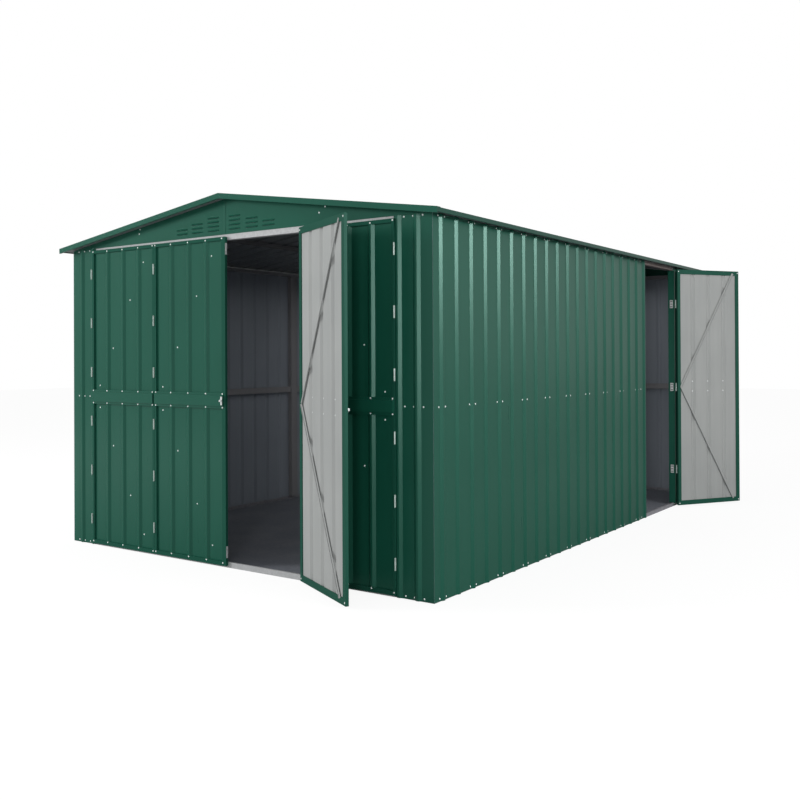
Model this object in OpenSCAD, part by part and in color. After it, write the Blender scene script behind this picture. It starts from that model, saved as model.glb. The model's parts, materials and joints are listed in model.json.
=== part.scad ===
// Sheet-metal garage: hollow ribbed shell, low-pitch gable roof, four folding
// front leaves (the third-fourth fold line stands open) and one hinged side door.
// Millimetres, Z up, +Y to the rear. Origin: centre of the footprint on the ground.

/* [Building] */
// Width over the side walls
width = 3000; // [2960:3040]
// Length over the end walls
length = 4560; // [4480:4640]
// Height of the wall sheets
wall_h = 2027; // [2024:2032]
// Roof rise over half the width
rise = 219.5; // [200:240]

/* [Sheet profile] */
// Spacing of the pressed ribs
pitch = 156.7; // [150:158]
// Height of the pressed ribs
rib_d = 11; // [8:12]
// Thickness of one sheet layer
sheet_t = 0.8; // [0.6:1.2]

/* [Front doors] */
// Half width of the front doorway between the outer hinge lines
front_half = 1270; // [1266:1274]
// Opening turn of the fourth folding leaf
leaf4_turn = 152.6; // [90:158]
// Thickness of every door leaf
leaf_t = 18; // [16:20]
// Underside height of every door leaf
leaf_z0 = 12; // [8:16]
// Top of the front leaves
leaf_top = 2014; // [2008:2018]

/* [Side door] */
// Position of the side door hinge line along the building
side_hinge_y = 1465; // [1460:1468]
// Width of the side door leaf
side_w = 650; // [640:652]
// Top of the side door leaf
side_top = 2004; // [1996:2008]
// Opening turn of the side door as stored
side_turn = 146.5; // [0:165]

/* [Hidden] */
$fn = 32;
hw = width/2;
hl = length/2;
slope = rise/hw;
ang = atan(slope);
over_end = 67;
over_side = 65;
roof_z0 = wall_h + 4 + rise;         // underside of the roof pan at the ridge
door_y0 = side_hinge_y - side_w - 5; // front edge of the side doorway
door_y1 = side_hinge_y + 5;          // rear edge of the side doorway
first_rib = -hl + 83;
leaf_w = front_half/2 - 2.5;
meet = 12;                           // the meeting line stands this far right of the middle
axis_y = -hl - 25;                   // hinge line of the front leaves
side_axis_x = hw + 28;
green = [0.12, 0.27, 0.22];
grey = [0.62, 0.62, 0.61];
dark = [0.24, 0.25, 0.26];
silver = [0.78, 0.79, 0.81];

// Profile along X, ribs towards +Y.
function line_pts(x0, x1, ribs, d) = concat([[x0, 0]],
 [for (r = ribs) for (p = [[r - 24, 0], [r - 6, d], [r + 6, d], [r + 24, 0]]) p], [[x1, 0]]);
module profile(x0, x1, ribs, d, t, off) {
 a = line_pts(x0, x1, ribs, d);
 n = len(a);
 polygon(concat([for (p = a) [p[0], p[1] + off + t]],
  [for (i = [n - 1 : -1 : 0]) [a[i][0], a[i][1] + off]]));
}
// Ribbed sheet standing on the left wall line, ribs towards -X.
module side_sheet(y0, y1, off) {
 ks = [for (k = [0 : 28]) if (first_rib + k*pitch > y0 + 24 && first_rib + k*pitch < y1 - 24) first_rib + k*pitch];
 translate([-hw, 0, 2]) rotate([0, 0, 90])
  linear_extrude(wall_h - 2) profile(y0, y1, ks, rib_d, sheet_t, off);
}
module rear_sheet(off) {
 ks = [for (k = [-9 : 9]) k*pitch];
 translate([0, hl, 2]) linear_extrude(wall_h - 2) profile(-hw, hw, ks, rib_d, sheet_t, off);
}
module bx(x0, x1, y0, y1, z0, z1) translate([x0, y0, z0]) cube([x1 - x0, y1 - y0, z1 - z0]);
module both_sides() { children(); mirror([1, 0, 0]) children(); }
module both_ends() { children(); mirror([0, 1, 0]) children(); }

// ---- floor and base ----
module floor_deck() color([0.22, 0.23, 0.27])
 bx(-hw + 42, hw - 42, -hl + 44, hl - 44, 0, 12);
module base_rails_side() color([0.6, 0.6, 0.62]) both_sides()
 rotate([90, 0, 0]) translate([0, 0, -hl + 2]) linear_extrude(length - 4)
  polygon([[hw - 1.6, 0], [hw - 41, 0], [hw - 41, 20], [hw - 39, 20], [hw - 39, 2], [hw - 3.6, 2], [hw - 3.6, 30], [hw - 1.6, 30]]);
module threshold_front() color(silver) {
 translate([-1252, 0, 0]) rotate([90, 0, 90]) linear_extrude(2504)
  polygon([[-hl, 0], [-hl + 42, 0], [-hl + 42, 20], [-hl + 40, 20], [-hl + 40, 2], [-hl + 26, 2], [-hl + 26, 30], [-hl + 2, 30], [-hl + 2, 34], [-hl, 34]]);
 both_sides() translate([1252, 0, 0]) rotate([90, 0, 90]) linear_extrude(hw - 41 - 1252)
  polygon([[-hl + 2, 0], [-hl + 42, 0], [-hl + 42, 20], [-hl + 40, 20], [-hl + 40, 2], [-hl + 4, 2], [-hl + 4, 30], [-hl + 2, 30]]);
}
module base_rail_rear() color([0.6, 0.6, 0.62])
 translate([-hw + 41, 0, 0]) rotate([90, 0, 90]) linear_extrude(width - 82)
  polygon([[hl - 1.8, 0], [hl - 42, 0], [hl - 42, 20], [hl - 40, 20], [hl - 40, 2], [hl - 3.8, 2], [hl - 3.8, 30], [hl - 1.8, 30]]);

// ---- wall sheets ----
module left_wall() color(green) side_sheet(-hl, hl - 1.7, -sheet_t);
module right_wall_front() color(green) mirror([1, 0, 0]) side_sheet(-hl, door_y0 - 2, -sheet_t);
module right_wall_rear() color(green) mirror([1, 0, 0]) side_sheet(door_y1 + 2, hl - 1.7, -sheet_t);
module rear_wall() color(green) rear_sheet(-sheet_t);
module left_wall_inner() color(dark) side_sheet(-hl, hl - 1.7, -2*sheet_t);
module right_wall_front_inner() color(dark) mirror([1, 0, 0]) side_sheet(-hl, door_y0 - 2, -2*sheet_t);
module right_wall_rear_inner() color(dark) mirror([1, 0, 0]) side_sheet(door_y1 + 2, hl - 1.7, -2*sheet_t);
module rear_wall_inner() color(dark)
 intersection() { rear_sheet(-2*sheet_t); bx(-hw + 1.7, hw - 1.7, 0, hl + 20, 0, 3000); }

// ---- openings ----
module side_door_head() color([0.42, 0.38, 0.37]) {
 translate([0, door_y0, 0]) rotate([90, 0, 180]) linear_extrude(door_y1 - door_y0)
  polygon([[-hw, 1999], [-hw + 38, 1999], [-hw + 38, 2003], [-hw + 2, 2003], [-hw + 2, wall_h], [-hw, wall_h]]);
}
// The corner panel laps behind the outer leaf and turns out just beside its edge.
corner_pts = [[1253, 0], [1270, 0], [1272, rib_d], [1285, rib_d], [1303, 0], [1376, 0], [1394, rib_d], [1406, rib_d], [1424, 0], [hw - 1.7, 0]];
module front_corner_panels() color(green) both_sides()
 translate([0, -hl, 2]) mirror([0, 1, 0]) linear_extrude(wall_h)
  polygon(concat(corner_pts, [for (i = [len(corner_pts) - 1 : -1 : 0]) [corner_pts[i][0], corner_pts[i][1] - 2*sheet_t]]));
module louvre_cut(x, z, w) bx(x - w/2, x + w/2, -hl - 5, -hl + 5, z - 0.5, z + 2);
module louvre_hood(x, z, w) translate([x - w/2, -hl, z]) rotate([90, 0, 90])
 linear_extrude(w) polygon([[0.2, 10], [-5, 2.5], [-5, 1.5], [0.2, 8.4]]);
louvre_x = -19;
louvre_cols = [[91, 4], [233, 3], [369, 2]];
module louvres(hood) for (c = louvre_cols) for (i = [0 : c[1] - 1]) for (s = [-1, 1])
 if (hood) louvre_hood(louvre_x + s*c[0], 2056 + 26*i, 92); else louvre_cut(louvre_x + s*c[0], 2056 + 26*i, 92);
module gable_tri(t) {
 zb = wall_h + 3;
 xe = (roof_z0 - 2 - zb)/slope;
 rotate([90, 0, 0]) translate([0, 0, -t]) linear_extrude(t) polygon([[-xe, zb], [xe, zb], [0, roof_z0 - 2]]);
}
module gable_front() color(green) {
 difference() { translate([0, -hl, 0]) gable_tri(1.6); louvres(false); }
 louvres(true);
}
module gable_rear() color(green) translate([0, hl - 1.6, 0]) gable_tri(1.6);
module front_head_rail() color(silver) {
 translate([-hw + 3, 0, 0]) rotate([90, 0, 90]) linear_extrude(width - 6)
  polygon([[-hl + 2, 1996], [-hl + 44, 1996], [-hl + 44, 1998], [-hl + 4, 1998], [-hl + 4, wall_h + 2], [-hl + 2, wall_h + 2]]);
 bx(-1200, 1200, -hl + 2, -hl + 4, wall_h, wall_h + 22);
}
module front_jambs() color(green) both_sides() translate([0, 0, 30])
 linear_extrude(1964) polygon([[1283, -hl + 2], [1281, -hl + 2], [1281, -hl + 44], [1316, -hl + 44], [1316, -hl + 42], [1283, -hl + 42]]);
module side_door_jambs() color(green) translate([0, 0, 30]) {
 // hinge side, with the return face that carries the hinge plates
 linear_extrude(1967) polygon([[hw - 38, door_y1], [hw + 16, door_y1], [hw + 16, door_y1 + 2], [hw - 36, door_y1 + 2],
  [hw - 36, door_y1 + 38], [hw - 4, door_y1 + 38], [hw - 4, door_y1 + 40], [hw - 38, door_y1 + 40]]);
 linear_extrude(1967) polygon([[hw - 38, door_y0], [hw, door_y0], [hw, door_y0 - 2], [hw - 36, door_y0 - 2],
  [hw - 36, door_y0 - 38], [hw - 4, door_y0 - 38], [hw - 4, door_y0 - 40], [hw - 38, door_y0 - 40]]);
}

// ---- inner framing ----
module channel_y(x, y0, y1, z0, z1, w) // open towards the wall
 translate([0, y0, 0]) rotate([90, 0, 180]) linear_extrude(y1 - y0)
  polygon([[-x, z0], [-x + w, z0], [-x + w, z1], [-x, z1], [-x, z1 - 2], [-x + w - 2, z1 - 2], [-x + w - 2, z0 + 2], [-x, z0 + 2]]);
module wall_plates() color(dark) {
 mirror([1, 0, 0]) channel_y(hw - 3, -hl + 48, hl - 48, 1998, 2026, 36);
 channel_y(hw - 3, -hl + 48, door_y0 - 42, 1998, 2026, 36);
 channel_y(hw - 3, door_y1 + 42, hl - 48, 1998, 2026, 36);
 translate([-hw + 3, 0, 0]) rotate([90, 0, 90]) linear_extrude(width - 6)
  polygon([[hl - 3, 1996], [hl - 44, 1996], [hl - 44, 2028], [hl - 42, 2028], [hl - 42, 1998], [hl - 3, 1998]]);
}
module mid_girts() color(dark) {
 mirror([1, 0, 0]) channel_y(hw - 3, -hl + 48, -42, 965, 1013, 30);
 mirror([1, 0, 0]) channel_y(hw - 3, 42, hl - 48, 965, 1013, 30);
 channel_y(hw - 3, -hl + 48, -42, 965, 1013, 30);
 channel_y(hw - 3, 42, door_y0 - 42, 965, 1013, 30);
 channel_y(hw - 3, door_y1 + 42, hl - 48, 965, 1013, 30);
 translate([-hw + 48, 0, 0]) rotate([90, 0, 90]) linear_extrude(width - 96)
  polygon([[hl - 3, 965], [hl - 33, 965], [hl - 33, 1013], [hl - 3, 1013], [hl - 3, 1011], [hl - 31, 1011], [hl - 31, 967], [hl - 3, 967]]);
}
module mid_posts() color(dark) both_sides() translate([0, 0, 30])
 linear_extrude(1967) polygon([[hw - 3, -38], [hw - 40, -38], [hw - 40, 38], [hw - 3, 38], [hw - 3, 36], [hw - 38, 36], [hw - 38, -36], [hw - 3, -36]]);
module purlin_at(x) {
 zt = roof_z0 - slope*x - 3;
 translate([x, -hl + 6, zt]) rotate([0, ang, 0]) translate([-20, 0, -22])
  difference() { cube([40, length - 12, 22]); translate([2, -1, -2]) cube([36, length, 22]); }
}
module purlins() color(dark) both_sides() purlin_at(750);
module ridge_beam() color(dark)
 translate([0, -hl + 6, 0]) rotate([-90, 0, 0]) linear_extrude(length - 12)
  polygon([[-45, -(roof_z0 - 10)], [0, -(roof_z0 - 10 + 45*slope)], [45, -(roof_z0 - 10)], [45, -(roof_z0 - 40)], [43, -(roof_z0 - 40)], [43, -(roof_z0 - 12)],
   [0, -(roof_z0 - 12 + 43*slope)], [-43, -(roof_z0 - 12)], [-43, -(roof_z0 - 40)], [-45, -(roof_z0 - 40)]]);

// ---- roof ----
// Local X down the slope from the ridge, Z square to the sheet.
module roof_half() {
 run = (hw + over_side - 2)/cos(ang);
 ks = [for (k = [-14 : 14]) k*pitch];
 translate([0, 0, roof_z0]) rotate([0, ang, 0]) translate([2, 0, 0]) rotate([90, 0, 90])
  linear_extrude(run - 2) profile(-hl - over_end + 3, hl + over_end - 3, ks, rib_d, 1.4, 0);
}
module roof_right() color(green) roof_half();
module roof_left() color(green) mirror([1, 0, 0]) roof_half();
module ridge_cap() color(green)
 translate([0, -hl - over_end + 36, roof_z0 + 12.7]) rotate([-90, 0, 0]) linear_extrude(length + 2*over_end - 72)
  polygon([[-95, 95*slope], [0, 0], [95, 95*slope], [95, 95*slope - 1.6], [0, -1.8], [-95, 95*slope - 1.6]]);
module barge_half() {
 run = hw + over_side + 4;
 top = roof_z0 + 23;
 translate([0, -hl - over_end, 0]) rotate([90, 0, 0]) translate([0, 0, -2]) linear_extrude(2)
  polygon([[0, top], [run, top - slope*run], [run, top - slope*run - 33], [0, top - 33]]);
 translate([0, -hl - over_end + 36, 0]) rotate([90, 0, 0]) linear_extrude(34)
  polygon([[0, top], [run, top - slope*run], [run, top - slope*run - 2], [0, top - 2]]);
 translate([0, -hl - over_end + 12, 0]) rotate([90, 0, 0]) linear_extrude(10)
  polygon([[0, top - 31], [run, top - slope*run - 31], [run, top - slope*run - 33], [0, top - 33]]);
}
module barge_trims() color(green) both_ends() { barge_half(); mirror([1, 0, 0]) barge_half(); }
module eave_trims() color(green) both_sides() {
 zr = roof_z0 - slope*(hw + over_side);
 translate([0, hl + over_end - 2.5, 0]) rotate([90, 0, 0]) linear_extrude(length + 2*over_end - 5)
  polygon([[hw + over_side + 3, zr - 3], [hw + over_side + 3, zr + 20], [hw + over_side - 18, zr + 22.5], [hw + over_side - 18, zr + 21],
   [hw + over_side + 1, zr + 18.4], [hw + over_side + 1, zr - 1.6], [hw + over_side - 8, zr - 1.6], [hw + over_side - 8, zr - 3]]);
}

// ---- door leaves ----
// Local frame: hinge line at the origin, leaf along +X, outer face at y = 5, inner face at 5 + leaf_t.
module leaf_frame(w, z0, z1) difference() {
 translate([2, 5, z0]) cube([w, leaf_t, z1 - z0]);
 translate([19, 4, z0 + 26]) cube([w - 36, 13, z1 - z0 - 47]);
 // groove that holds the sheet and its liner
 translate([14, 16, z0 + 16]) cube([w - 25, 1.6, z1 - z0 - 32]);
 translate([32, 17, z0 + 38]) cube([w - 66, 20, z1 - z0 - 76]);
}
module leaf_sheet(w, z0, z1, off) translate([0, 16.8 + off, z0 + 26]) mirror([0, 1, 0])
 linear_extrude(z1 - z0 - 47) profile(15, w - 12, [for (i = [1 : 3]) 2 + w*i/4], 11, 0.8, 0);
module leaf_rail(x0, x1, zc) {
 translate([x0, 3, zc - 48]) cube([x1 - x0, 2, 96]);
 translate([x0, -5, zc - 33]) cube([x1 - x0, 8, 66]);
}
module strip(x0, z0, x1, z1) {
 l = norm([x1 - x0, z1 - z0]);
 translate([x0, 5 + leaf_t, z0]) rotate([0, -atan2(z1 - z0, x1 - x0), 0]) {
  translate([0, 0, -8]) cube([l, 1.6, 16]);
  translate([0, 0, -8]) cube([l, 6, 1.6]);
 }
}
module leaf_brace(w, z0, z1) {
 zm = (z0 + z1)/2 + 4;
 difference() {
  union() { strip(31, zm, w - 64, z1 - 20); strip(31, zm, w - 68, z0 + 29); }
  translate([-200, -50, z0 - 200]) cube([202, 200, 3000]);
 }
}
// Leaves 1-4 counted from the left. Odd ones hinge on their left, 4 turns on the 3-4 line.
module at_leaf1() translate([-front_half, axis_y, 0]) children();
module at_leaf2() translate([-front_half/2 - 1, axis_y, 0]) children();
module at_leaf3() translate([front_half, axis_y, 0]) mirror([1, 0, 0]) children();
module at_leaf4() translate([front_half/2 + 1, axis_y, 0]) rotate([0, 0, leaf4_turn]) mirror([1, 0, 0]) children();
module each_leaf() { at_leaf1() children(); at_leaf2() children(); at_leaf3() children(); at_leaf4() children(); }
module fold_frames() color(green) {
 at_leaf1() leaf_frame(leaf_w, leaf_z0, leaf_top);
 at_leaf2() { leaf_frame(leaf_w, leaf_z0, leaf_top); translate([leaf_w + 1, 5, leaf_z0]) cube([meet + 1, leaf_t, leaf_top - leaf_z0]); }
 at_leaf3() leaf_frame(leaf_w, leaf_z0, leaf_top);
 at_leaf4() leaf_frame(leaf_w - meet, leaf_z0, leaf_top);
}
module leaf_skins(off) {
 at_leaf1() leaf_sheet(leaf_w, leaf_z0, leaf_top, off);
 at_leaf2() leaf_sheet(leaf_w, leaf_z0, leaf_top, off);
 at_leaf3() leaf_sheet(leaf_w, leaf_z0, leaf_top, off);
 at_leaf4() leaf_sheet(leaf_w - meet, leaf_z0, leaf_top, off);
}
module fold_sheets() color(green) leaf_skins(0);
module fold_liners() color(grey) leaf_skins(0.8);
module fold_mid_rails() color(green) {
 at_leaf1() leaf_rail(8, leaf_w - 6, 1015);
 at_leaf2() leaf_rail(10, leaf_w - 2, 1015);
 at_leaf3() leaf_rail(8, leaf_w - 20, 1015);
 at_leaf4() leaf_rail(28, leaf_w - meet - 36, 1015);
}
module fold_braces() color(grey) {
 at_leaf1() leaf_brace(leaf_w, leaf_z0, leaf_top);
 at_leaf2() leaf_brace(leaf_w, leaf_z0, leaf_top);
 at_leaf3() leaf_brace(leaf_w, leaf_z0, leaf_top);
 at_leaf4() leaf_brace(leaf_w - meet, leaf_z0, leaf_top);
}
hinge_z = [for (i = [0 : 5]) 181.3 + 334.1*i];
module knuckles(x) for (z = hinge_z) translate([x, axis_y - 1, z - 33.5]) {
 cylinder(r = 3, h = 67);
 translate([-3, 2, 0]) cube([6, 4, 67]);
}
module fold_hinges() color(silver) for (x = [-front_half - 0, -front_half/2 - 1, front_half/2 + 1, front_half]) knuckles(x);
// Flush bolts let into the free edge of the second leaf, and the small catches.
module fold_bolts() color(silver) {
 at_leaf2() for (z = [61, 1905]) translate([leaf_w + 2 + meet, 6.5, z]) {
  cube([1.2, 15, 70]);
  translate([0, 7.5, 24]) rotate([0, 90, 0]) cylinder(r = 3, h = 1.6);
 }
 at_leaf2() translate([leaf_w - 17, -8, 989]) {
  cube([13, 3, 52]);
  translate([6.5, 0, 30]) rotate([90, 0, 0]) cylinder(r = 5.5, h = 8);
  translate([-6, -7, 20]) cube([13, 4, 10]);
 }
 at_leaf4() translate([leaf_w - meet - 30, -8, 1003]) {
  cube([20, 13, 14]);
  translate([12, -3, 3]) cube([6, 3, 8]);
 }
}

// ---- side door ----
module at_side() translate([side_axis_x, side_hinge_y, 0]) rotate([0, 0, side_turn - 90]) mirror([0, 1, 0]) children();
module side_door_frame() color(green) at_side() leaf_frame(side_w - 2, leaf_z0, side_top);
module side_door_sheet() color(green) at_side() leaf_sheet(side_w - 2, leaf_z0, side_top, 0);
module side_door_liner() color(grey) at_side() leaf_sheet(side_w - 2, leaf_z0, side_top, 0.8);
module side_door_mid_rail() color(green) at_side() leaf_rail(28, side_w - 4, 1015);
module side_door_brace() color(grey) at_side() leaf_brace(side_w - 2, leaf_z0, side_top);
module side_door_latch() color(silver) at_side() translate([side_w - 62, -13, 985]) {
 cube([40, 8, 50]);
 translate([20, 0, 25]) rotate([90, 0, 0]) cylinder(r = 7, h = 12);
 translate([8, -18, 17]) cube([24, 6, 16]);
}
module side_door_knuckles() color(silver) at_side() for (z = side_hinge_z) translate([0, 0, z - 34]) {
 cylinder(r = 4.5, h = 68);
 translate([-2, 3, 0]) cube([20, 2, 68]);
}
side_hinge_z = [316, 1010, 1713];
module side_hinge_plates() color(silver) for (z = side_hinge_z) translate([0, 0, z - 34]) {
 bx(hw - 23, hw + 3, door_y1 - 1.2, door_y1, 0, 68);
}

floor_deck();
base_rails_side();
threshold_front();
base_rail_rear();
left_wall();
right_wall_front();
right_wall_rear();
rear_wall();
left_wall_inner();
right_wall_front_inner();
right_wall_rear_inner();
rear_wall_inner();
side_door_head();
front_corner_panels();
gable_front();
gable_rear();
front_head_rail();
front_jambs();
side_door_jambs();
wall_plates();
mid_girts();
mid_posts();
purlins();
ridge_beam();
roof_left();
roof_right();
ridge_cap();
barge_trims();
eave_trims();
fold_frames();
fold_sheets();
fold_liners();
fold_mid_rails();
fold_braces();
fold_hinges();
fold_bolts();
side_door_frame();
side_door_sheet();
side_door_liner();
side_door_mid_rail();
side_door_brace();
side_door_latch();
side_hinge_plates();
side_door_knuckles();
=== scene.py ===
import bpy, bmesh, json, math, random
from mathutils import Vector, Matrix

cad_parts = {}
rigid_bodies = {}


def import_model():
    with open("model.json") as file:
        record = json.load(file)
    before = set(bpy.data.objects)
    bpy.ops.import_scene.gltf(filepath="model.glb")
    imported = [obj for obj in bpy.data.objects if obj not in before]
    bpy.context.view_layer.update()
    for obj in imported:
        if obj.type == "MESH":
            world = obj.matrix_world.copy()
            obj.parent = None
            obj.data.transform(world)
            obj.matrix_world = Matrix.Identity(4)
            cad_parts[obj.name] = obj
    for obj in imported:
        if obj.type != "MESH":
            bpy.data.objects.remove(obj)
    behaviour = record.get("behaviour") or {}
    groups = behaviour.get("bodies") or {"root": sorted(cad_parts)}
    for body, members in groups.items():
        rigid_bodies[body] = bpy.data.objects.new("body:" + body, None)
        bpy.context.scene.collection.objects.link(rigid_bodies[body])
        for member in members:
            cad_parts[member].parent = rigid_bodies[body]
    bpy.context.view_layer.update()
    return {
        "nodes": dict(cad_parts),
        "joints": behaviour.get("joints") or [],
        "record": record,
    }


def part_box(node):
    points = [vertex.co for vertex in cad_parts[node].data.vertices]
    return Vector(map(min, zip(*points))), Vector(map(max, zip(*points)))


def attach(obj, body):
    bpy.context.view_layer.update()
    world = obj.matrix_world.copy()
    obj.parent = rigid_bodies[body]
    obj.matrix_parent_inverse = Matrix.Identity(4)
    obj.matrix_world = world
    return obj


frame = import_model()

random.seed(7)

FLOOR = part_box("floor_deck")
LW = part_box("left_wall")
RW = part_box("right_wall_front")
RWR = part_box("right_wall_rear")
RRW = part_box("rear_wall")
X0 = LW[0][0] + 0.011          # outer face of the left wall pans
X1 = RW[1][0] - 0.011
Y0 = RW[0][1]
Y1 = RRW[1][1] - 0.011
ZT = LW[1][2]


# ---------------------------------------------------------------- materials
def new_mat(name):
    m = bpy.data.materials.new(name)
    m.use_nodes = True
    nt = m.node_tree
    for n in list(nt.nodes):
        nt.nodes.remove(n)
    out = nt.nodes.new("ShaderNodeOutputMaterial")
    bs = nt.nodes.new("ShaderNodeBsdfPrincipled")
    nt.links.new(bs.outputs["BSDF"], out.inputs["Surface"])
    return m, nt, bs


def tex_obj(nt, scale=(1, 1, 1)):
    tc = nt.nodes.new("ShaderNodeTexCoord")
    mp = nt.nodes.new("ShaderNodeMapping")
    mp.inputs["Scale"].default_value = scale
    nt.links.new(tc.outputs["Object"], mp.inputs["Vector"])
    return tc, mp


def noise(nt, vec, scale, detail=4.0, rough=0.55):
    n = nt.nodes.new("ShaderNodeTexNoise")
    n.inputs["Scale"].default_value = scale
    n.inputs["Detail"].default_value = detail
    n.inputs["Roughness"].default_value = rough
    nt.links.new(vec.outputs["Vector"], n.inputs["Vector"])
    return n


def ramp(nt, fac, stops):
    r = nt.nodes.new("ShaderNodeValToRGB")
    el = r.color_ramp.elements
    while len(el) > len(stops):
        el.remove(el[-1])
    while len(el) < len(stops):
        el.new(0.5)
    for e, (p, c) in zip(el, stops):
        e.position = p
        e.color = (c[0], c[1], c[2], 1.0)
    nt.links.new(fac, r.inputs["Fac"])
    return r


def paint(name, lo, hi, rough=(0.34, 0.46), spec=0.5, coat=0.0, bump=0.02, metallic=0.0, inside=None, tint=(1.0, 1.0, 1.0, 1.0)):
    """Baked sheet paint: slow tone drift, faint vertical streaks, fine orange peel."""
    m, nt, bs = new_mat(name)
    tc, mp = tex_obj(nt)
    _, st = tex_obj(nt, (9.0, 9.0, 0.7))
    drift = noise(nt, mp, 1.3, 3.0)
    streak = noise(nt, st, 2.6, 5.0, 0.6)
    mixf = nt.nodes.new("ShaderNodeMath"); mixf.operation = "MULTIPLY_ADD"
    mixf.inputs[1].default_value = 0.35
    nt.links.new(streak.outputs["Fac"], mixf.inputs[0])
    sc = nt.nodes.new("ShaderNodeMath"); sc.operation = "MULTIPLY"; sc.inputs[1].default_value = 0.65
    nt.links.new(drift.outputs["Fac"], sc.inputs[0])
    nt.links.new(sc.outputs[0], mixf.inputs[2])
    r = ramp(nt, mixf.outputs[0], [(0.32, lo), (0.68, hi)])
    col = r.outputs["Color"]
    if inside is not None:
        # the underside of the sheet keeps its slate primer
        sep = nt.nodes.new("ShaderNodeSeparateXYZ")
        nt.links.new(tc.outputs["Normal"], sep.inputs[0])
        lt = nt.nodes.new("ShaderNodeMath"); lt.operation = "LESS_THAN"; lt.inputs[1].default_value = 0.0
        nt.links.new(sep.outputs["Z"], lt.inputs[0])
        mx = nt.nodes.new("ShaderNodeMix"); mx.data_type = "RGBA"
        mx.inputs["B"].default_value = (inside[0], inside[1], inside[2], 1.0)
        for i in mx.inputs:
            if i.name == "B" and i.type == "RGBA":
                i.default_value = (inside[0], inside[1], inside[2], 1.0)
        nt.links.new(lt.outputs[0], mx.inputs[0])
        a = [i for i in mx.inputs if i.name == "A" and i.type == "RGBA"][0]
        nt.links.new(col, a)
        col = [o for o in mx.outputs if o.type == "RGBA"][0]
    nt.links.new(col, bs.inputs["Base Color"])
    rr = nt.nodes.new("ShaderNodeMapRange")
    rr.inputs["To Min"].default_value = rough[0]
    rr.inputs["To Max"].default_value = rough[1]
    nt.links.new(streak.outputs["Fac"], rr.inputs["Value"])
    nt.links.new(rr.outputs[0], bs.inputs["Roughness"])
    peel = noise(nt, mp, 260.0, 2.0)
    wav = noise(nt, mp, 5.5, 2.0)
    add = nt.nodes.new("ShaderNodeMath"); add.operation = "MULTIPLY_ADD"; add.inputs[1].default_value = 4.0
    nt.links.new(wav.outputs["Fac"], add.inputs[0])
    nt.links.new(peel.outputs["Fac"], add.inputs[2])
    bp = nt.nodes.new("ShaderNodeBump")
    bp.inputs["Strength"].default_value = bump * 10
    bp.inputs["Distance"].default_value = 0.0004
    nt.links.new(add.outputs[0], bp.inputs["Height"])
    nt.links.new(bp.outputs["Normal"], bs.inputs["Normal"])
    bs.inputs["Specular IOR Level"].default_value = spec
    bs.inputs["Specular Tint"].default_value = tint
    bs.inputs["Metallic"].default_value = metallic
    bs.inputs["Coat Weight"].default_value = coat
    bs.inputs["Coat Roughness"].default_value = 0.25
    return m


def zinc(name, lo, hi, rough=(0.28, 0.45), metallic=0.85):
    """Galvanised or plated steel: small spangle cells and brushed variation."""
    m, nt, bs = new_mat(name)
    tc, mp = tex_obj(nt)
    vo = nt.nodes.new("ShaderNodeTexVoronoi")
    vo.inputs["Scale"].default_value = 90.0
    nt.links.new(mp.outputs["Vector"], vo.inputs["Vector"])
    sepc = nt.nodes.new("ShaderNodeSeparateColor")
    nt.links.new(vo.outputs["Color"], sepc.inputs["Color"])
    r = ramp(nt, sepc.outputs[0], [(0.0, lo), (1.0, hi)])
    nt.links.new(r.outputs["Color"], bs.inputs["Base Color"])
    n = noise(nt, mp, 40.0, 5.0)
    rr = nt.nodes.new("ShaderNodeMapRange")
    rr.inputs["To Min"].default_value = rough[0]
    rr.inputs["To Max"].default_value = rough[1]
    nt.links.new(n.outputs["Fac"], rr.inputs["Value"])
    nt.links.new(rr.outputs[0], bs.inputs["Roughness"])
    bp = nt.nodes.new("ShaderNodeBump")
    bp.inputs["Strength"].default_value = 0.15
    bp.inputs["Distance"].default_value = 0.0003
    nt.links.new(n.outputs["Fac"], bp.inputs["Height"])
    nt.links.new(bp.outputs["Normal"], bs.inputs["Normal"])
    bs.inputs["Metallic"].default_value = metallic
    return m


def floor_mat(name):
    m, nt, bs = new_mat(name)
    tc, mp = tex_obj(nt)
    big = noise(nt, mp, 2.2, 6.0, 0.6)
    fine = noise(nt, mp, 55.0, 4.0, 0.7)
    add = nt.nodes.new("ShaderNodeMath"); add.operation = "MULTIPLY_ADD"; add.inputs[1].default_value = 0.45
    nt.links.new(fine.outputs["Fac"], add.inputs[0])
    s = nt.nodes.new("ShaderNodeMath"); s.operation = "MULTIPLY"; s.inputs[1].default_value = 0.55
    nt.links.new(big.outputs["Fac"], s.inputs[0])
    nt.links.new(s.outputs[0], add.inputs[2])
    r = ramp(nt, add.outputs[0], [(0.30, (0.115, 0.123, 0.145)), (0.52, (0.165, 0.175, 0.200)), (0.72, (0.235, 0.245, 0.270))])
    nt.links.new(r.outputs["Color"], bs.inputs["Base Color"])
    bs.inputs["Roughness"].default_value = 0.62
    bp = nt.nodes.new("ShaderNodeBump")
    bp.inputs["Strength"].default_value = 0.35
    bp.inputs["Distance"].default_value = 0.001
    nt.links.new(fine.outputs["Fac"], bp.inputs["Height"])
    nt.links.new(bp.outputs["Normal"], bs.inputs["Normal"])
    return m


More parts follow.
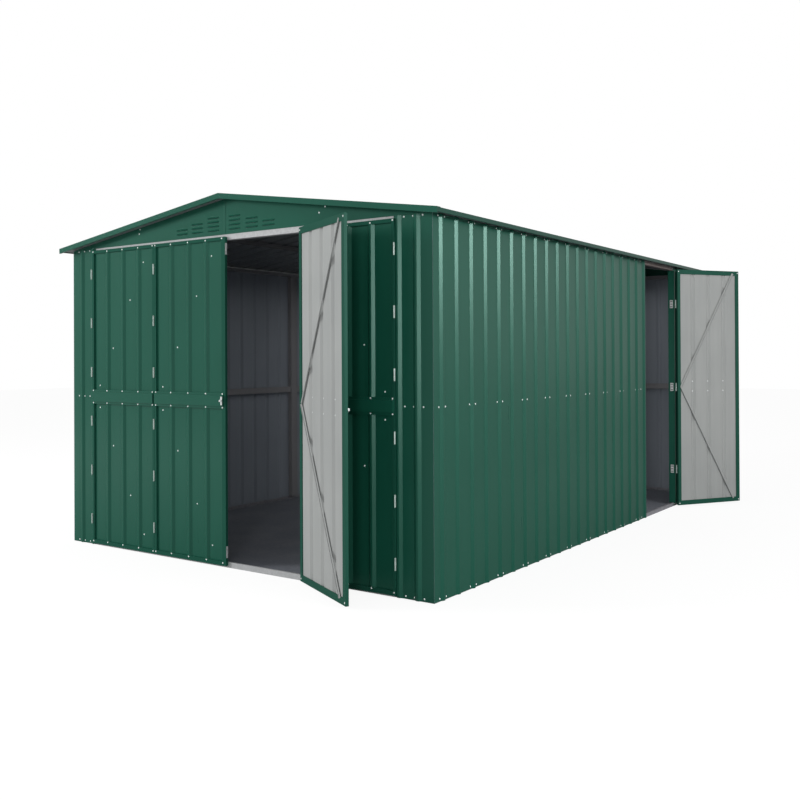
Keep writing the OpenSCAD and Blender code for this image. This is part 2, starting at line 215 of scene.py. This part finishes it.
SLATE = (0.205, 0.208, 0.218)
GREEN_LO, GREEN_HI = (0.0068, 0.072, 0.046), (0.0090, 0.083, 0.054)
M = {}
M["green_paint"] = paint("green_paint", GREEN_LO, GREEN_HI, rough=(0.25, 0.34), bump=0.012, tint=(0.62, 1.0, 0.88, 1.0), spec=0.53)
M["roof_paint"] = paint("roof_paint", GREEN_LO, GREEN_HI, rough=(0.27, 0.37), bump=0.012, inside=SLATE, tint=(0.62, 1.0, 0.88, 1.0), spec=0.53)
# door frames: the same green sheet paint with its base darkened to about 0.85 as painted shade, made rougher and
# duller in gloss
M["frame_paint_painted_shade"] = paint("frame_paint_painted_shade", (0.0058, 0.062, 0.040), (0.0078, 0.072, 0.047), rough=(0.46, 0.56), bump=0.012, tint=(0.62, 1.0, 0.88, 1.0), spec=0.32)
# eave trims: the same green sheet paint with its base darkened to about 0.65 as painted shade
M["trim_paint_painted_shade"] = paint("trim_paint_painted_shade", (0.0045, 0.046, 0.030), (0.0060, 0.054, 0.036), rough=(0.30, 0.40), bump=0.012, tint=(0.62, 1.0, 0.88, 1.0), spec=0.4)
M["inner_paint"] = paint("inner_paint", (0.258, 0.288, 0.330), (0.308, 0.338, 0.380), rough=(0.5, 0.62), bump=0.01)
M["framing"] = paint("framing", (0.235, 0.232, 0.240), (0.290, 0.286, 0.296), rough=(0.45, 0.6), bump=0.01)
M["head_paint"] = paint("head_paint", (0.15, 0.12, 0.115), (0.20, 0.165, 0.155), rough=(0.4, 0.55), bump=0.01)
M["liner_paint"] = paint("liner_paint", (0.308, 0.320, 0.316), (0.376, 0.388, 0.380), rough=(0.45, 0.58), bump=0.012)
M["galvanised"] = zinc("galvanised", (0.60, 0.61, 0.62), (0.68, 0.69, 0.70), rough=(0.42, 0.58), metallic=0.6)
M["base_rail"] = zinc("base_rail", (0.26, 0.26, 0.28), (0.36, 0.36, 0.39), rough=(0.5, 0.65), metallic=0.4)
M["floor_board"] = floor_mat("floor_board")
M["hinge_plate"] = zinc("hinge_plate", (0.50, 0.60, 0.56), (0.62, 0.72, 0.68), rough=(0.35, 0.5), metallic=0.35)
M["bright_steel"] = zinc("bright_steel", (0.72, 0.74, 0.74), (0.86, 0.88, 0.88), rough=(0.28, 0.4), metallic=0.5)
M["dark_zinc"] = zinc("dark_zinc", (0.05, 0.055, 0.055), (0.09, 0.095, 0.095), rough=(0.4, 0.55), metallic=0.4)
# rivet heads: pale zinc, with a near-white, barely metallic base that is painted glint so they read bright from
# every side
M["rivet"] = zinc("rivet", (0.84, 0.90, 0.88), (0.92, 0.96, 0.95), rough=(0.25, 0.38), metallic=0.1)

slot_of = {s["node"]: s["material_slot"] for s in frame["record"]["subparts"]}


def cad_object(node):
    o = frame["nodes"].get(node)
    if isinstance(o, str):
        o = bpy.data.objects.get(o)
    return o


# door frames and eave trims get the darker green copies, whose lower colour is painted shade
OWN = {"eave_trims": "trim_paint_painted_shade", "fold_frames": "frame_paint_painted_shade", "side_door_frame": "frame_paint_painted_shade", "roof_left": "roof_paint", "roof_right": "roof_paint", "fold_hinges": "hinge_plate", "fold_bolts": "bright_steel",
       "side_door_latch": "bright_steel", "side_hinge_plates": "bright_steel", "side_door_knuckles": "hinge_plate"}
for node, slot in slot_of.items():
    ob = cad_object(node)
    mat = M[OWN.get(node, slot)]
    if len(ob.material_slots) == 0:
        ob.data.materials.append(mat)
    for s in ob.material_slots:
        s.material = mat


# ---------------------------------------------------------------- mesh helpers
def finish_mesh(bm, name, mat, body):
    me = bpy.data.meshes.new(name)
    bm.to_mesh(me)
    bm.free()
    ob = bpy.data.objects.new(name, me)
    bpy.context.scene.collection.objects.link(ob)
    me.materials.append(mat)
    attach(ob, body)
    return ob


def dome(bm, p, n, r=0.0037, h=0.0022, washer=0.0049, seg=12):
    """Rivet or screw head with a thin washer: a lathed profile about n."""
    n = Vector(n).normalized()
    a = n.orthogonal().normalized()
    b = n.cross(a)
    prof = [(washer, 0.0), (washer * 0.97, 0.0007), (r * 1.02, 0.0009), (r * 0.92, h * 0.62), (r * 0.6, h * 0.93), (0.0, h)]
    p = Vector(p)
    rings = []
    for rr, hh in prof[:-1]:
        rings.append([bm.verts.new(p + n * hh + (a * math.cos(t) + b * math.sin(t)) * rr)
                      for t in [2 * math.pi * i / seg for i in range(seg)]])
    top = bm.verts.new(p + n * prof[-1][1])
    base = bm.verts.new(p)
    for k in range(len(rings) - 1):
        for i in range(seg):
            j = (i + 1) % seg
            f = bm.faces.new((rings[k][i], rings[k][j], rings[k + 1][j], rings[k + 1][i]))
            f.smooth = k >= 2
    for i in range(seg):
        j = (i + 1) % seg
        f = bm.faces.new((rings[-1][i], rings[-1][j], top)); f.smooth = True
        bm.faces.new((rings[0][j], rings[0][i], base))


def sweep(bm, prof, a, b, xdir, ydir):
    """Closed profile [(u, v)] swept straight from a to b; u along xdir, v along ydir."""
    a, b, xdir, ydir = Vector(a), Vector(b), Vector(xdir), Vector(ydir)
    r0 = [bm.verts.new(a + xdir * u + ydir * v) for u, v in prof]
    r1 = [bm.verts.new(b + xdir * u + ydir * v) for u, v in prof]
    n = len(prof)
    fs = [bm.faces.new((r0[i], r0[(i + 1) % n], r1[(i + 1) % n], r1[i])) for i in range(n)]
    fs.append(bm.faces.new(r0[::-1]))
    fs.append(bm.faces.new(r1))
    return fs


def tidy(bm):
    bmesh.ops.recalc_face_normals(bm, faces=bm.faces[:])


# ---------------------------------------------------------------- rivets
PITCH = 0.1567
FIRST = Y0 + 0.083
ROWS = (0.016, 1.015, ZT - 0.010)
SHELL, SIDE = "shell", "side_door"

bm = bmesh.new()
for k in range(0, 29, 2):
    yc = FIRST + k * PITCH
    for s in (-1, 1):
        y = yc + s * 0.032
        for z in ROWS:
            dome(bm, (X0, y, z), (-1, 0, 0))
            if y < RW[1][1] - 0.02 or y > RWR[0][1] + 0.02:
                dome(bm, (X1, y, z), (1, 0, 0))
for z in ROWS:
    dome(bm, (X1, RW[1][1] - 0.100, z), (1, 0, 0))
    dome(bm, (X1, RWR[0][1] + 0.012, z), (1, 0, 0))
for k in range(-8, 9, 2):
    for s in (-1, 1):
        for z in ROWS:
            dome(bm, (k * PITCH + s * 0.032, Y1, z), (0, 1, 0))
for s in (-1, 1):
    for x in (1.320, 1.377, 1.438):
        for z in (0.016, 1.016, ZT - 0.008):
            dome(bm, (s * x, Y0, z), (0, -1, 0))
finish_mesh(bm, "wall_rivets", M["rivet"], SHELL)

# gable and roof fixings
bm = bmesh.new()
SL = 219.5 / 1500
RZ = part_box("roof_left")[1][2]
for x, z in ((-0.80, 2.095), (-0.793, 2.124), (0.738, 2.095), (0.782, 2.126)):
    dome(bm, (x, Y0, z), (0, -1, 0))
for s in (-1, 1):
    for x, z in ((0.80, 2.095), (0.79, 2.124)):
        dome(bm, (s * x, Y1 + 0.011 - 0.011, z), (0, 1, 0))
finish_mesh(bm, "gable_rivets", M["rivet"], SHELL)

bm = bmesh.new()
ang = math.atan(SL)
for s in (-1, 1):
    for k in range(-14, 15, 1):
        for x in (0.12, 0.75, 1.44):
            if x == 0.12:
                continue
            z0 = 2.2505 - SL * x
            n = Vector((s * math.sin(ang), 0, math.cos(ang)))
            p = Vector((s * x, k * PITCH + 0.036, z0)) + n * 0.0014
            dome(bm, p, n)
finish_mesh(bm, "roof_rivets", M["rivet"], SHELL)

# ---------------------------------------------------------------- leaves
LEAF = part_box("fold_frames")
ZL0, ZL1 = LEAF[0][2], LEAF[1][2]
AX_Y = Y0 - 0.025
LEAF_W = 0.6325
MEET = 0.012
HALF = 1.270


def leaf_matrix(k):
    """Leaf frame: +X along the leaf from its hinge line, +Y from outer to inner face."""
    if k == 1:
        return Matrix.Translation((-HALF, AX_Y, 0))
    if k == 2:
        return Matrix.Translation((-HALF / 2 - 0.001, AX_Y, 0))
    if k == 3:
        return Matrix.Translation((HALF, AX_Y, 0)) @ Matrix.Scale(-1, 4, (1, 0, 0))
    if k == 4:
        return Matrix.Translation((HALF / 2 + 0.001, AX_Y, 0)) @ Matrix.Rotation(math.radians(152.6), 4, "Z") @ Matrix.Scale(-1, 4, (1, 0, 0))


def side_matrix():
    j = frame["joints"][0] if isinstance(frame["joints"], list) else list(frame["joints"].values())[0]
    p = j["pos_m"]
    return Matrix.Translation((p[0], p[1], 0)) @ Matrix.Rotation(math.radians(56.5), 4, "Z") @ Matrix.Scale(-1, 4, (0, 1, 0))


def leaf_rivets(bm, mt, w, z0, z1, rail_ends):
    R = mt.to_3x3()
    out, inn = R @ Vector((0, -1, 0)), R @ Vector((0, 1, 0))

    def put(x, y, z, n):
        dome(bm, mt @ Vector((x, y, z)), n)
    us = [0.0115, 0.002 + w * 0.25, 0.002 + w * 0.5, 0.002 + w * 0.75, w - 0.0135]
    for i, u in enumerate(us):
        end = i in (0, 4)
        put(u, 0.005, z1 - (0.009 if end else 0.0125), out)
        put(u, 0.005, z0 + (0.0165 if end else 0.0205), out)
    for u in us[1:4] + rail_ends:
        put(u, 0.003, 1.0565, out)
        put(u, 0.003, 0.9735, out)
    for u in us[1:4]:
        put(u, 0.0066, 1.0565, inn)
        put(u, 0.0066, 0.9735, inn)
    # brace fixings show on the outside between the ribs
    zm = (z0 + z1) / 2 + 0.004
    for f in (0.072, 0.211, 0.386, 0.5195):
        u = f * w / 0.6325
        for ze, wf in ((z1 - 0.020, 0.095), (z0 + 0.029, 0.099)):
            z = zm + (u - 0.031) / (w - wf) * (ze - zm)
            put(u, 0.016, z, out)
    for u in (0.014, w - 0.010):
        for z in (z0 + 0.016, z1 - 0.016):
            put(u, 0.023, z, inn)


bm = bmesh.new()
RAIL_ENDS = {1: [0.0145, LEAF_W - 0.0145], 2: [0.0165, LEAF_W - 0.0105], 3: [0.0145, LEAF_W - 0.0290], 4: [0.0365, LEAF_W - MEET - 0.0450]}
for k in (1, 2, 3, 4):
    leaf_rivets(bm, leaf_matrix(k), LEAF_W - (MEET if k == 4 else 0.0), ZL0, ZL1, RAIL_ENDS[k])
tidy(bm)
finish_mesh(bm, "fold_rivets", M["rivet"], SHELL)

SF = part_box("side_door_frame")
bm = bmesh.new()
leaf_rivets(bm, side_matrix(), 0.648, SF[0][2], SF[1][2], [0.0365, 0.6365])
tidy(bm)
finish_mesh(bm, "side_door_rivets", M["rivet"], SIDE)

# gable centre seam: folded lock strip with softened edges
bm = bmesh.new()
sw = 0.011
prof = [(-sw, 0.0), (-sw + 0.002, 0.0016), (sw - 0.002, 0.0022), (sw, 0.0010), (sw, 0.0)]
sweep(bm, prof, (-0.012, Y0, ZT + 0.004), (-0.012, Y0, 2.232), (1, 0, 0), (0, -1, 0))
tidy(bm)
finish_mesh(bm, "gable_seam", M["green_paint"], SHELL)

# striker on the front jamb of the side doorway and hinge screws
bm = bmesh.new()
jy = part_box("side_door_head")[0][1]
prof = [(-0.014, 0.0), (-0.014, 0.002), (-0.004, 0.004), (0.004, 0.004), (0.014, 0.002), (0.014, 0.0)]
sweep(bm, prof, (X1 - 0.030, jy, 0.985), (X1 - 0.030, jy, 1.045), (1, 0, 0), (0, 1, 0))
dome(bm, (X1 - 0.030, jy + 0.004, 0.998), (0, 1, 0), r=0.004, washer=0.005)
dome(bm, (X1 - 0.030, jy + 0.004, 1.032), (0, 1, 0), r=0.004, washer=0.005)
tidy(bm)
finish_mesh(bm, "side_striker", M["galvanised"], SHELL)

bm = bmesh.new()
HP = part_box("side_hinge_plates")
for zc in (0.316, 1.010, 1.713):
    for dz in (-0.022, 0.0, 0.022):
        for dx in (0.008, 0.018):
            dome(bm, (HP[0][0] + dx, HP[0][1], zc + dz), (0, -1, 0), r=0.0032, h=0.0018, washer=0.0042, seg=10)
tidy(bm)
finish_mesh(bm, "side_hinge_screws", M["dark_zinc"], SHELL)

# ---------------------------------------------------------------- stage
bpy.ops.mesh.primitive_plane_add(size=60, location=(0, 0, -0.0005))
fl = bpy.context.object
fl.name = "stage_floor"
fm, fnt, fbs = new_mat("stage_floor")
fbs.inputs["Base Color"].default_value = (0.42, 0.42, 0.42, 1)
fbs.inputs["Roughness"].default_value = 0.9
fbs.inputs["Specular IOR Level"].default_value = 0.0
# the camera sees the pale floor nearly white with only a faint contact shadow
lp = fnt.nodes.new("ShaderNodeLightPath")
em = fnt.nodes.new("ShaderNodeEmission")
em.inputs["Color"].default_value = (1.0, 1.0, 1.0, 1)
em.inputs["Strength"].default_value = 1.04
pale = fnt.nodes.new("ShaderNodeBsdfDiffuse")
pale.inputs["Color"].default_value = (0.93, 0.93, 0.93, 1)
seen = fnt.nodes.new("ShaderNodeMixShader")
seen.inputs["Fac"].default_value = 0.14
both = fnt.nodes.new("ShaderNodeMixShader")
outp = [n for n in fnt.nodes if n.type == "OUTPUT_MATERIAL"][0]
fnt.links.new(em.outputs["Emission"], seen.inputs[1])
fnt.links.new(pale.outputs["BSDF"], seen.inputs[2])
fnt.links.new(lp.outputs["Is Camera Ray"], both.inputs["Fac"])
fnt.links.new(fbs.outputs["BSDF"], both.inputs[1])
fnt.links.new(seen.outputs["Shader"], both.inputs[2])
fnt.links.new(both.outputs["Shader"], outp.inputs["Surface"])
fl.data.materials.append(fm)

w = bpy.data.worlds.new("studio")
bpy.context.scene.world = w
w.use_nodes = True
wnt = w.node_tree
bg = wnt.nodes["Background"]
bg.inputs["Color"].default_value = (1.0, 1.0, 1.0, 1)
bg.inputs["Strength"].default_value = 0.60
bg2 = wnt.nodes.new("ShaderNodeBackground")
bg2.inputs["Color"].default_value = (1.0, 1.0, 1.0, 1)
bg2.inputs["Strength"].default_value = 1.0
wlp = wnt.nodes.new("ShaderNodeLightPath")
wmx = wnt.nodes.new("ShaderNodeMixShader")
wout = [n for n in wnt.nodes if n.type == "OUTPUT_WORLD"][0]
wnt.links.new(wlp.outputs["Is Camera Ray"], wmx.inputs["Fac"])
wnt.links.new(bg.outputs["Background"], wmx.inputs[1])
wnt.links.new(bg2.outputs["Background"], wmx.inputs[2])
wnt.links.new(wmx.outputs["Shader"], wout.inputs["Surface"])


def area(name, loc, target, size, power, color=(1, 1, 1)):
    l = bpy.data.lights.new(name, "AREA")
    l.shape = "RECTANGLE"
    l.size, l.size_y = size
    l.energy = power
    l.color = color
    o = bpy.data.objects.new(name, l)
    bpy.context.scene.collection.objects.link(o)
    o.location = loc
    d = Vector(target) - Vector(loc)
    o.rotation_euler = d.to_track_quat("-Z", "Y").to_euler()
    return o


key = area("key", (-7.6, Y0 - 5.6, 3.7), (-0.2, Y0, 1.1), (2.4, 2.6), 690)
key.visible_glossy = False
area("side_soft", (9.0, -2.6, 3.1), (1.5, -1.6, 1.5), (4.5, 1.0), 325)
area("front_strip", (4.6, Y0 - 6.6, 2.2), (1.2, Y0, 1.1), (0.9, 3.0), 100)
fill = area("inner_fill", (0.1, 0.4, 1.93), (0.1, 0.4, 0.0), (2.2, 3.4), 9.5)
fill.visible_camera = False
fill.visible_glossy = False
for ob in bpy.context.scene.objects:
    if ob.type == "LIGHT":
        ob.visible_camera = False

# ---------------------------------------------------------------- camera
yaw, pitch, roll = math.radians(34.861), math.radians(0.278), math.radians(-0.265)
fwd = Vector((-math.sin(yaw), math.cos(yaw), 0))
right = Vector((math.cos(yaw), math.sin(yaw), 0))
up = Vector((0, 0, 1))
f2 = fwd * math.cos(pitch) + up * math.sin(pitch)
u2 = up * math.cos(pitch) - fwd * math.sin(pitch)
r3 = right * math.cos(roll) + u2 * math.sin(roll)
u3 = u2 * math.cos(roll) - right * math.sin(roll)
cam = bpy.data.cameras.new("cam")
cam.sensor_width = 36
cam.lens = 928.09 / 800 * 36
cam.shift_x = 0.0
cam.shift_y = -(400 - 351.57) / 800
cam.clip_end = 200
co = bpy.data.objects.new("cam", cam)
bpy.context.scene.collection.objects.link(co)
rot = Matrix((r3, u3, -f2)).transposed()
co.matrix_world = Matrix.Translation((4.103, Y0 - 4.038, 1.2824)) @ rot.to_4x4()
bpy.context.scene.camera = co
bpy.context.scene.view_settings.view_transform = "Standard"
bpy.context.scene.view_settings.look = "None"
